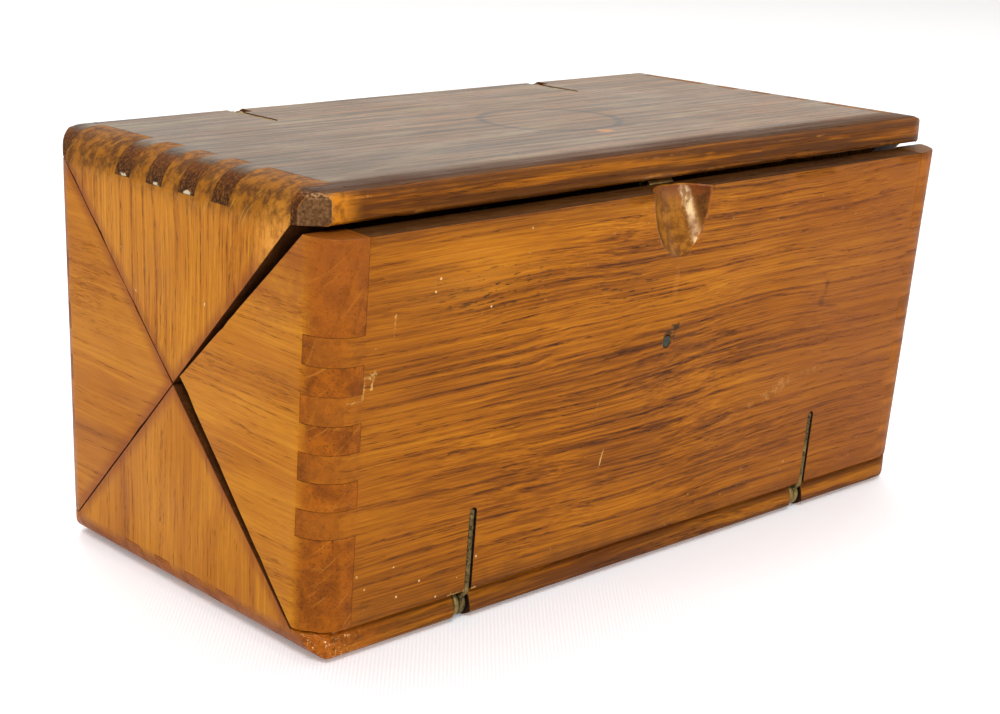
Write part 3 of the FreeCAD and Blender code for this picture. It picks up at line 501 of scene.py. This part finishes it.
def end_marks(panel, hand):
    """Marks of an end piece: the stain along its mitres, and what is particular to each."""
    def marks(g, place, normal, look):
        x, y, z = g.millimetres(place)
        fine = fine_noise(g, place)
        soft = g.noise(g.scaled(place, (70, 70, 70), (4, 8, 2)), 3.0, 0.6)
        from_mitre = g.math("ABSOLUTE", g.sub(g.math("ABSOLUTE", y), g.math("ABSOLUTE", g.sub(z, 50.0))))
        from_mitre = g.add(from_mitre, g.mul(g.sub(soft, 0.5), 3.0))
        halo = g.mul(g.band(from_mitre, 5.0, 0.2), g.band(soft, 0.35, 0.6, 0.45, 0.80))
        shown = g.band(g.attribute("shade_and_grime"), 0.5, 0.2)
        halo = g.mul(halo, shown)
        if panel != "front":
            stain(g, look, halo, (0.215, 0.046, 0.006))
        if panel == "lid":
            # The rounded top is browner than the end, with arc-shaped scratches.
            crown = g.add(z, g.mul(g.sub(soft, 0.5), 5.0))
            crown_colour = g.mix(g.band(fine, 0.38, 0.62), (0.085, 0.030, 0.003), (0.31, 0.115, 0.005))
            stain(g, look, g.mul(g.mul(g.band(crown, 88.5, 95.0), shown), 0.80), crown_colour)
            bent = g.add(y, g.mul(g.mul(g.sub(z, 84.0), g.sub(z, 84.0)), 0.030))
            arcs = g.noise(g.vector(g.mul(bent, 1.3), g.mul(z, 0.06), g.mul(x, 0.06)), 3.0, 0.7)
            arcs = g.mul(g.band(arcs, 0.60, 0.66), g.band(z, 85.0, 92.0))
            stain(g, look, g.mul(g.mul(arcs, shown), 0.35), (0.56, 0.30, 0.06))
            corner = spot(g, place, (-101, -39, 85), (12, 11, 16)) if hand == "left" else 0.0
            corner = g.mul(g.mul(corner, shown), g.band(fine, 0.36, 0.6, 0.25, 0.9))
            stain(g, look, corner, (0.78, 0.34, 0.05))
        if panel == "front":
            slanting = g.mul(g.sub(g.mul(x, 1.1), z), 0.8)
            slants = g.noise(g.vector(slanting, g.mul(g.add(x, z), 0.04), 2.0), 2.0, 0.6)
            slants = g.mul(g.band(slants, 0.60, 0.67), g.band(y, -46.0, -49.0))
            stain(g, look, g.mul(slants, 0.30), (0.56, 0.22, 0.025))
            # The top face, under the lid's overhang, is painted darker: painted shade with some grime.
            top = g.band(g.split(normal)[2], 0.80, 0.95)
            stain(g, look, g.mul(top, 0.80), (0.085, 0.028, 0.005))
            if hand == "left":
                high = g.band(g.add(z, g.mul(g.sub(soft, 0.5), 30.0)), 62.0, 92.0)
                high = g.mul(g.mul(high, shown), g.band(fine, 0.30, 0.60, 0.35, 0.75))
                stain(g, look, high, (0.270, 0.072, 0.008))
            if hand == "right":
                face = g.mul(g.band(g.toward(normal, (0, -1, 0)), 0.5, 0.8), 0.80)
                along = g.noise(g.scaled(place, (12, 300, 420), (3, 1, 5)), 4.0, 0.65)
                old = g.mix(g.band(along, 0.35, 0.65), (0.20, 0.055, 0.004), (0.40, 0.120, 0.007))
                stain(g, look, face, old)
    return marks


# ---- mesh work -----------------------------------------------------------------------------
def cad_copy(node):
    """A CAD node's mesh as one clean bmesh, in millimetres, with its flat faces made whole."""
    bm = bmesh.new()
    bm.from_mesh(NODES[node].data)
    bmesh.ops.scale(bm, vec=(1 / MM, 1 / MM, 1 / MM), verts=bm.verts)
    bmesh.ops.remove_doubles(bm, verts=bm.verts, dist=1e-4)
    bmesh.ops.dissolve_limit(bm, angle_limit=math.radians(1.0), verts=bm.verts, edges=bm.edges)
    return bm


FACE_MARKS = ("arris", "seam", "shade_and_grime", "notch")


def bevel_groups(bm, width_of, segments=2):
    """Rounds each sharp edge by the width that width_of gives, and notes which faces that made."""
    kinds = {name: bm.faces.layers.float.new(name) for name in FACE_MARKS}
    groups = {}
    for edge in bm.edges:
        if edge.is_manifold and edge.calc_face_angle(0.0) > math.radians(32):
            kind, width = width_of(edge)
            if width > 0:
                groups.setdefault((width, kind), []).append(edge)
    for (width, kind), edges in sorted(groups.items()):
        edges = [e for e in edges if e.is_valid]
        made = bmesh.ops.bevel(bm, geom=edges, offset=width, offset_type="OFFSET", segments=segments,
                               profile=0.5, affect="EDGES", clamp_overlap=False, loop_slide=True)
        for face in made["faces"]:
            if kind:
                face[kinds[kind]] = 1.0


def grid_cut(bm, step, axes):
    """Cuts the mesh by planes a step apart, so that its broad faces can be moved a little."""
    for axis in axes:
        places = [v.co[axis] for v in bm.verts]
        count = int((max(places) - min(places)) / step)
        normal = Vector([1.0 if a == axis else 0.0 for a in range(3)])
        for i in range(1, count):
            at = min(places) + i * (max(places) - min(places)) / count
            geometry = bm.verts[:] + bm.edges[:] + bm.faces[:]
            bmesh.ops.bisect_plane(bm, geom=geometry, dist=1e-5, plane_co=normal * at, plane_no=normal)


def wear(bm, seed, waviness, chipping):
    """Sinks the surface by a smooth random amount, and the arrises by a rougher one."""
    arris = bm.faces.layers.float["arris"]
    bm.normal_update()
    offset = Vector((17.0 * seed, 5.3 * seed, 2.9 * seed))
    moves = []
    for vert in bm.verts:
        sink = waviness * (0.5 + 0.5 * noise.noise(vert.co / 26.0 + offset))
        if any(face[arris] > 0.5 for face in vert.link_faces):
            sink += chipping * max(0.0, noise.noise(vert.co / 3.6 + offset) * 1.6 - 0.35)
            sink += chipping * 0.35 * max(0.0, noise.noise(vert.co / 14.0 + offset))
        moves.append((vert, vert.normal * sink))
    for vert, move in moves:
        vert.co -= move


def piece(name, bm, node, material, smooth_angle=35):
    """Makes an object of a bmesh in millimetres.  It stands for its CAD node and rides on its body."""
    bmesh.ops.scale(bm, vec=(MM, MM, MM), verts=bm.verts)
    mesh = bpy.data.meshes.new(name)
    bm.to_mesh(mesh)
    bm.free()
    mesh.shade_smooth()
    mesh.set_sharp_from_angle(angle=math.radians(smooth_angle))
    mesh.materials.append(material)
    made = bpy.data.objects.new(name, mesh)
    bpy.context.scene.collection.objects.link(made)
    made.modifiers.new("even_normals", "WEIGHTED_NORMAL").keep_sharp = True
    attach(made, BODY_OF[node])
    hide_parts(node)
    return made


# ---- the wooden pieces ---------------------------------------------------------------------
# The object's axes across each panel and through it.
ACROSS = {"bottom": 1, "lid": 1, "front": 2, "back": 2}
INWARD = {"bottom": 2, "lid": 2, "front": 1, "back": 1}


def across_of(panel, point):
    """How far a point is from its panel's centre line."""
    return abs(point[ACROSS[panel]] - (HALF_SIDE if panel in ("front", "back") else 0.0))


OUTWARD = {"bottom": Vector((0, 0, -1)), "lid": Vector((0, 0, 1)), "back": Vector((0, 1, 0)),
           "front": Vector((0, -math.cos(AJAR), -math.sin(AJAR)))}
FRONT_AXIS = Vector((0, -HALF_SIDE + BOARD / 2, BOARD / 2))      # the pins that the front turns on
OUTER_FACE = {"bottom": Vector((0, 0, 0)), "lid": Vector((0, 0, 2 * HALF_SIDE)),
              "back": OUTWARD["back"] * HALF_SIDE, "front": FRONT_AXIS + OUTWARD["front"] * BOARD / 2}


def kerfs_of(panel):
    """Where a panel's hinge wires lie along the box, and those of the panels they turn with."""
    hinges = {node.split("_hinge_")[0] for node in BODIES[panel]
              if "_hinge_" in node}
    wires = [node for node in NODES if "_wire_" in node and node.split("_hinge_")[0] in hinges]
    return [sum(corner[0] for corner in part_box(node)) / 2 / MM for node in wires]


KERFS = {panel: kerfs_of(panel) for panel in PANELS}


def sunk(panel, point):
    """How far a point lies in from its panel's outer face."""
    return (OUTER_FACE[panel] - point).dot(OUTWARD[panel])


SEAM, ARRIS, MITRE, FINE = 0.05, 0.38, 0.16, 0.12      # how wide the edges of each kind are rounded


def edge_rule(panel, is_end):
    """The rounding of each edge of a wooden piece, as (kind, width)."""
    def rule(edge):
        a, b = (v.co for v in edge.verts)
        nearest, furthest = sorted((abs(a.x), abs(b.x)))
        across = max(across_of(panel, a), across_of(panel, b))
        if is_end:
            way = (a - b).normalized()
            sideways, inward = abs(way[ACROSS[panel]]), abs(way[INWARD[panel]])
            if nearest < END_INNER + 0.1 and furthest < END_INNER + 0.1:
                return "seam", SEAM
            if across < FINGERS_HALF + 0.2 and abs(inward - sideways) > 0.1:
                return "seam", SEAM
            if panel in ("bottom", "lid") and abs(across - WIDE_END) < 0.2 and sideways < 0.5:
                return "seam", SEAM
            return "arris", MITRE
        middle = (a.x + b.x) / 2
        by_kerf = min(abs(middle - x) for x in KERFS[panel]) < KERF_GROUP
        if by_kerf and abs(a.x - b.x) < KERF_GROUP and across > HALF_SIDE - HINGE_REACH - 1:
            return "", FINE
        if nearest > END_INNER - 0.1:
            if across < FINGERS_HALF + 0.3 or furthest < END_INNER + 0.1:
                return "seam", SEAM
            if abs(across - WIDE_END) < 0.2:
                return "seam", SEAM
        return "arris", ARRIS
    return rule


def label_faces(bm, panel, is_end):
    """Marks the faces painted dark as shade and grime, and those of the thumb notch."""
    shade_and_grime, notch, arris = (bm.faces.layers.float[name] for name in ("shade_and_grime", "notch", "arris"))
    bm.normal_update()
    for face in bm.faces:
        middle, normal = face.calc_center_median(), face.normal
        outward = normal.dot(OUTWARD[panel])
        if is_end:
            # The slanted mitre faces, seen in the gap, get painted shade.
            slanted = -0.85 < outward < -0.55 and abs(normal.x) < 0.3
            face[shade_and_grime] = 0.80 if slanted else 0.0
            continue
        in_kerf = min(abs(middle.x - x) for x in KERFS[panel]) < KERF_REACH
        near_edge = across_of(panel, middle) > HALF_SIDE - HINGE_REACH - 1.5
        # Faces inside a hinge's kerf get painted shade, as if the slot were in shadow.
        if in_kerf and near_edge and (outward < 0.97 or sunk(panel, middle) > 0.6):
            face[shade_and_grime] = 0.55 if panel == "lid" else 1.0
        # The front's top edge under the lid's overhang gets painted shade with some grime.
        elif panel == "front" and normal.z > 0.6 and middle.z > 80:
            face[shade_and_grime] = 0.0 if face[arris] else 0.85
        if panel == "front" and abs(middle.x) < NOTCH_HALF and middle.z > NOTCH_LOW:
            if sunk(panel, middle) > 0.02 and 0.05 < outward < 0.999 and not face[arris]:
                face[notch], face[shade_and_grime] = 1.0, 0.0


def wooden_piece(node, panel, is_end, material, seed):
    """A board or an end piece, with its edges rounded and its surface worn."""
    bm = cad_copy(node)
    bevel_groups(bm, edge_rule(panel, is_end))
    label_faces(bm, panel, is_end)
    if is_end:
        grid_cut(bm, 3.5, (ACROSS[panel], INWARD[panel]))
    else:
        grid_cut(bm, 3.0, (0, ACROSS[panel]))
    wear(bm, seed, waviness=0.10, chipping=0.35)
    return piece("oak_" + node, bm, node, material)


def make_wood():
    boards = {
        "lid": oak("oak_lid", (0, 1, 2), 1, (-38, 60), 4.0, tone=-0.26, end_tone=0.30, marks=lid_marks),
        "front": oak("oak_front", (0, 2, 1), 2, (205, -95), 3.6, tone=-0.125, contrast=1.1,
                     end_tone=0.55, marks=front_marks),
        "back": oak("oak_back", (0, 2, 1), 3, (-70, 110), 4.4),
        "bottom": oak("oak_bottom", (0, 1, 2), 4, (95, 80), 4.6, end_tone=0.85, marks=bottom_marks),
    }
    ends = {
        "lid": dict(axes=(2, 1, 0), pith=(160, 40), ring=3.3, tone=0.155, contrast=0.9, end_tone=0.50),
        "front": dict(axes=(1, 2, 0), pith=(20, 95), ring=5.0, tone=0.12, contrast=0.6, end_tone=0.56),
        "back": dict(axes=(1, 2, 0), pith=(75, 60), ring=6.5, tone=0.06, contrast=0.35, end_tone=0.6),
        "bottom": dict(axes=(2, 1, 0), pith=(-110, 60), ring=5.5, tone=0.07, contrast=0.45, end_tone=0.6),
    }
    for number, panel in enumerate(PANELS):
        wooden_piece(panel + "_board", panel, False, boards[panel], number + 1)
        for side, hand in enumerate(("left", "right")):
            seed = 10 + 2 * number + side
            node = f"{panel}_end_{hand}"
            material = oak("oak_" + node, seed=seed, marks=end_marks(panel, hand), **ends[panel])
            wooden_piece(node, panel, True, material, seed)


# ---- metal ---------------------------------------------------------------------------------
def metal(name, bright, dull, corroded, rough=(0.28, 0.5), dirt=0.5, metallic=1.0):
    """Old metal: bright where it is rubbed, dull elsewhere, with corroded specks."""
    g = Graph(name)
    place = g.node("TexCoord").outputs["Object"]
    cloud = g.noise(g.scaled(place, (160, 160, 160)), 4.0, 0.62)
    fine = g.noise(g.scaled(place, (1500, 1500, 1500)), 4.0, 0.65)
    brushed = g.noise(g.scaled(place, (120, 2600, 2600)), 3.0, 0.6)
    colour = g.mix(g.band(cloud, 0.38, 0.62), bright, dull)
    colour = g.mix(g.band(brushed, 0.45, 0.62, 0.0, 0.25), colour, dull)
    spots = g.mul(g.band(g.add(fine, g.mul(g.sub(cloud, 0.5), 0.7)), 0.54, 0.64), dirt)
    colour = g.mix(spots, colour, corroded)
    roughness = g.add(g.band(cloud, 0.35, 0.65, rough[0], rough[1]), g.mul(spots, 0.25))
    height = g.add(g.mul(fine, 0.6), g.add(g.mul(brushed, 0.3), g.mul(cloud, 0.8)))
    return g.finish(colour, roughness, g.bump(height, 0.03), Metallic=metallic)


def eased(node, material, width=0.12):
    """A fitting of thin metal, with its sharp edges eased."""
    bm = cad_copy(node)
    bevel_groups(bm, lambda edge: ("arris", width))
    return piece("worn_" + node, bm, node, material)


def make_metal():
    nickel = metal("worn_nickel", (0.66, 0.63, 0.56), (0.42, 0.38, 0.31), (0.16, 0.075, 0.030), dirt=0.7)
    brass = metal("catch_brass", (0.55, 0.40, 0.16), (0.30, 0.215, 0.080), (0.055, 0.075, 0.045))
    corroded = metal("corroded_rivet", (0.050, 0.050, 0.028), (0.028, 0.026, 0.016),
                     (0.060, 0.085, 0.055), rough=(0.5, 0.7), dirt=0.8, metallic=0.3)
    wire = metal("hinge_wire_brass", (0.290, 0.205, 0.065), (0.135, 0.095, 0.032),
                 (0.030, 0.024, 0.012), rough=(0.42, 0.6), dirt=0.8, metallic=0.75)
    pin = metal("hinge_pin_steel", (0.20, 0.18, 0.15), (0.10, 0.085, 0.07),
                (0.09, 0.035, 0.012), dirt=0.8)
    tack = metal("nail_brass", (0.52, 0.38, 0.16), (0.26, 0.18, 0.07), (0.05, 0.035, 0.015), dirt=0.7)
    plain = {"hinge_wire": wire, "hinge_pin": pin, "nail": tack}
    for node, slot in SLOT_OF.items():
        if slot == "nickel_plate":
            eased(node, nickel)
        elif slot == "catch_brass" and node != "catch_rivet":
            eased(node, brass, 0.08)
        elif slot in plain or node == "catch_rivet":
            data = NODES[node].data
            data.materials.clear()
            data.materials.append(plain.get(slot, corroded))


# ---- velvet --------------------------------------------------------------------------------
def velvet():
    """Faded plum-red velvet, its pile crushed and bald in places."""
    g = Graph("faded_velvet")
    place = g.node("TexCoord").outputs["Object"]
    pile = g.noise(g.scaled(place, (3200, 3200, 3200)), 3.0, 0.7)
    tufts = g.noise(g.scaled(place, (900, 900, 900)), 3.0, 0.6)
    crush = g.noise(g.scaled(place, (45, 62, 62), (2, 7, 1)), 4.0, 0.62)
    weave = g.math("SINE", g.mul(g.split(place)[0], 2 * math.pi / (0.75 * MM)))
    fade = g.noise(g.scaled(place, (11, 16, 16), (5, 1, 3)), 2.0)
    colour = g.mix(g.band(crush, 0.34, 0.66), (0.120, 0.015, 0.022), (0.195, 0.032, 0.040))
    colour = g.mix(g.band(fade, 0.42, 0.70, 0.0, 0.45), colour, (0.260, 0.090, 0.070))
    bald = g.band(g.add(crush, g.mul(g.sub(tufts, 0.5), 0.5)), 0.30, 0.24)
    colour = g.mix(g.mul(bald, 0.55), colour, (0.150, 0.080, 0.050))
    colour = g.mix(g.band(pile, 0.30, 0.62, 0.45, 0.0), colour, (0.045, 0.006, 0.010))
    dust = g.noise(g.scaled(place, (1400, 1400, 1400), (9, 2, 6)), 2.0, 0.5)
    colour = g.mix(g.band(dust, 0.70, 0.75, 0.0, 0.5), colour, (0.42, 0.34, 0.26))
    height = g.add(g.mul(pile, 0.7), g.add(g.mul(tufts, 0.8), g.mul(g.mul(weave, bald), 0.2)))
    return g.finish(colour, 0.92, g.bump(height, 0.25), Sheen_Weight=0.55, Sheen_Roughness=0.35,
                    Sheen_Tint=(0.9, 0.45, 0.45, 1.0), Specular_IOR_Level=0.05)


def make_linings():
    cloth = velvet()
    for number, panel in enumerate(PANELS):
        node = panel + "_lining"
        bm = cad_copy(node)
        up = -OUTWARD[panel]
        shown = sum(f.calc_area() for f in bm.faces if f.normal.dot(up) > 0.9)
        grid_cut(bm, 2.5, (0, ACROSS[panel]))
        bm.normal_update()
        offset = Vector((3.1 * number, 8.0, 1.7))
        moves = []
        for vert in bm.verts:
            if vert.normal.dot(up) > 0.35:
                dip = 0.16 * (0.5 + 0.5 * noise.noise(vert.co / 9.0 + offset))
                moves.append((vert, up * -dip))
        for vert, move in moves:
            vert.co += move
        made = piece("velvet_" + node, bm, node, cloth, smooth_angle=50)


# ---- camera, light and floor ---------------------------------------------------------------
def make_camera():
    """The camera stands at the front left, a little above the box."""
    place = Vector((-312.2, -326.4, 167.4)) * MM
    azimuth, elevation, roll = 0.7318, 0.3195, 0.0307
    forward = Vector((math.sin(azimuth) * math.cos(elevation), math.cos(azimuth) * math.cos(elevation),
                      -math.sin(elevation))).normalized()
    right = Vector((math.cos(azimuth), -math.sin(azimuth), 0.0))
    up = right.cross(forward)
    right, up = (right * math.cos(roll) + up * math.sin(roll),
                 up * math.cos(roll) - right * math.sin(roll))
    data = bpy.data.cameras.new("camera")
    data.sensor_width = 36.0
    data.lens = 66.1
    data.shift_x = 0.0482
    data.shift_y = 0.0773
    camera = bpy.data.objects.new("camera", data)
    camera.matrix_world = Matrix((
        (right.x, up.x, -forward.x, place.x),
        (right.y, up.y, -forward.y, place.y),
        (right.z, up.z, -forward.z, place.z),
        (0, 0, 0, 1)))
    bpy.context.scene.collection.objects.link(camera)
    bpy.context.scene.camera = camera


def area_light(name, place, target, size, power, colour=(1, 1, 1)):
    data = bpy.data.lights.new(name, "AREA")
    data.shape = "RECTANGLE"
    data.size, data.size_y = size
    data.energy = power
    data.color = colour
    light = bpy.data.objects.new(name, data)
    light.location = place
    light.rotation_euler = (Vector(target) - Vector(place)).to_track_quat("-Z", "Y").to_euler()
    bpy.context.scene.collection.objects.link(light)


def make_world():
    """A bright white backdrop behind the box, and a dimmer room on the camera's side."""
    world = bpy.data.worlds.new("world")
    world.use_nodes = True
    tree = world.node_tree
    way = tree.nodes.new("ShaderNodeTexCoord")
    behind = tree.nodes.new("ShaderNodeVectorMath")
    behind.operation = "DOT_PRODUCT"
    behind.inputs[1].default_value = (0.67, 0.74, 0.0)
    ramp = tree.nodes.new("ShaderNodeMapRange")
    for index, value in enumerate((-0.2, 0.5, 0.38, 1.0)):
        ramp.inputs[index + 1].default_value = value
    tree.links.new(way.outputs["Generated"], behind.inputs[0])
    tree.links.new(behind.outputs["Value"], ramp.inputs[0])
    tree.links.new(ramp.outputs[0], tree.nodes["Background"].inputs["Strength"])
    tree.nodes["Background"].inputs["Color"].default_value = (1.0, 0.95, 0.87, 1.0)
    bpy.context.scene.world = world


RIB_PITCH = 0.85 * MM        # the floor cloth's ribs, and the direction across them
RIB_TURN = (math.cos(0.73), -math.sin(0.73))


def make_stage():
    make_world()
    bpy.context.scene.view_settings.view_transform = "Standard"
    area_light("key", (-0.75, -0.80, 1.10), (0, 0, 0.05), (0.45, 0.45), 13.2)
    area_light("window", (-0.35, -0.85, 0.33), (0, -0.05, 0.07), (0.10, 0.30), 1.2)
    area_light("top", (0.3, 0.5, 1.4), (0, 0, 0.05), (1.0, 1.0), 10.0)

    # A white cloth with fine ribs, glowing a little so that it stays white.
    g = Graph("pale_cloth")
    place = g.node("TexCoord").outputs["Object"]
    x, y, _ = g.split(place)
    across = g.add(g.mul(x, RIB_TURN[0]), g.mul(y, RIB_TURN[1]))
    ribs = g.math("SINE", g.mul(across, 2 * math.pi / RIB_PITCH))
    weave = g.noise(g.scaled(place, (700, 700, 700)), 2.0)
    shade = g.add(g.band(ribs, -0.6, 0.8), g.mul(g.sub(weave, 0.5), 0.5))
    colour = g.mix(shade, (0.84, 0.83, 0.88), (0.95, 0.95, 0.96))
    cloth = g.finish(colour, 0.9, Emission_Color=(0.90, 0.95, 1.0, 1.0), Emission_Strength=0.22)
    bm = bmesh.new()
    bmesh.ops.create_grid(bm, x_segments=1, y_segments=1, size=4.0)
    mesh = bpy.data.meshes.new("floor")
    bm.to_mesh(mesh)
    bm.free()
    mesh.materials.append(cloth)
    floor = bpy.data.objects.new("floor", mesh)
    floor.location.z = -0.0003
    bpy.context.scene.collection.objects.link(floor)


make_camera()
make_stage()
make_wood()
make_metal()
make_linings()
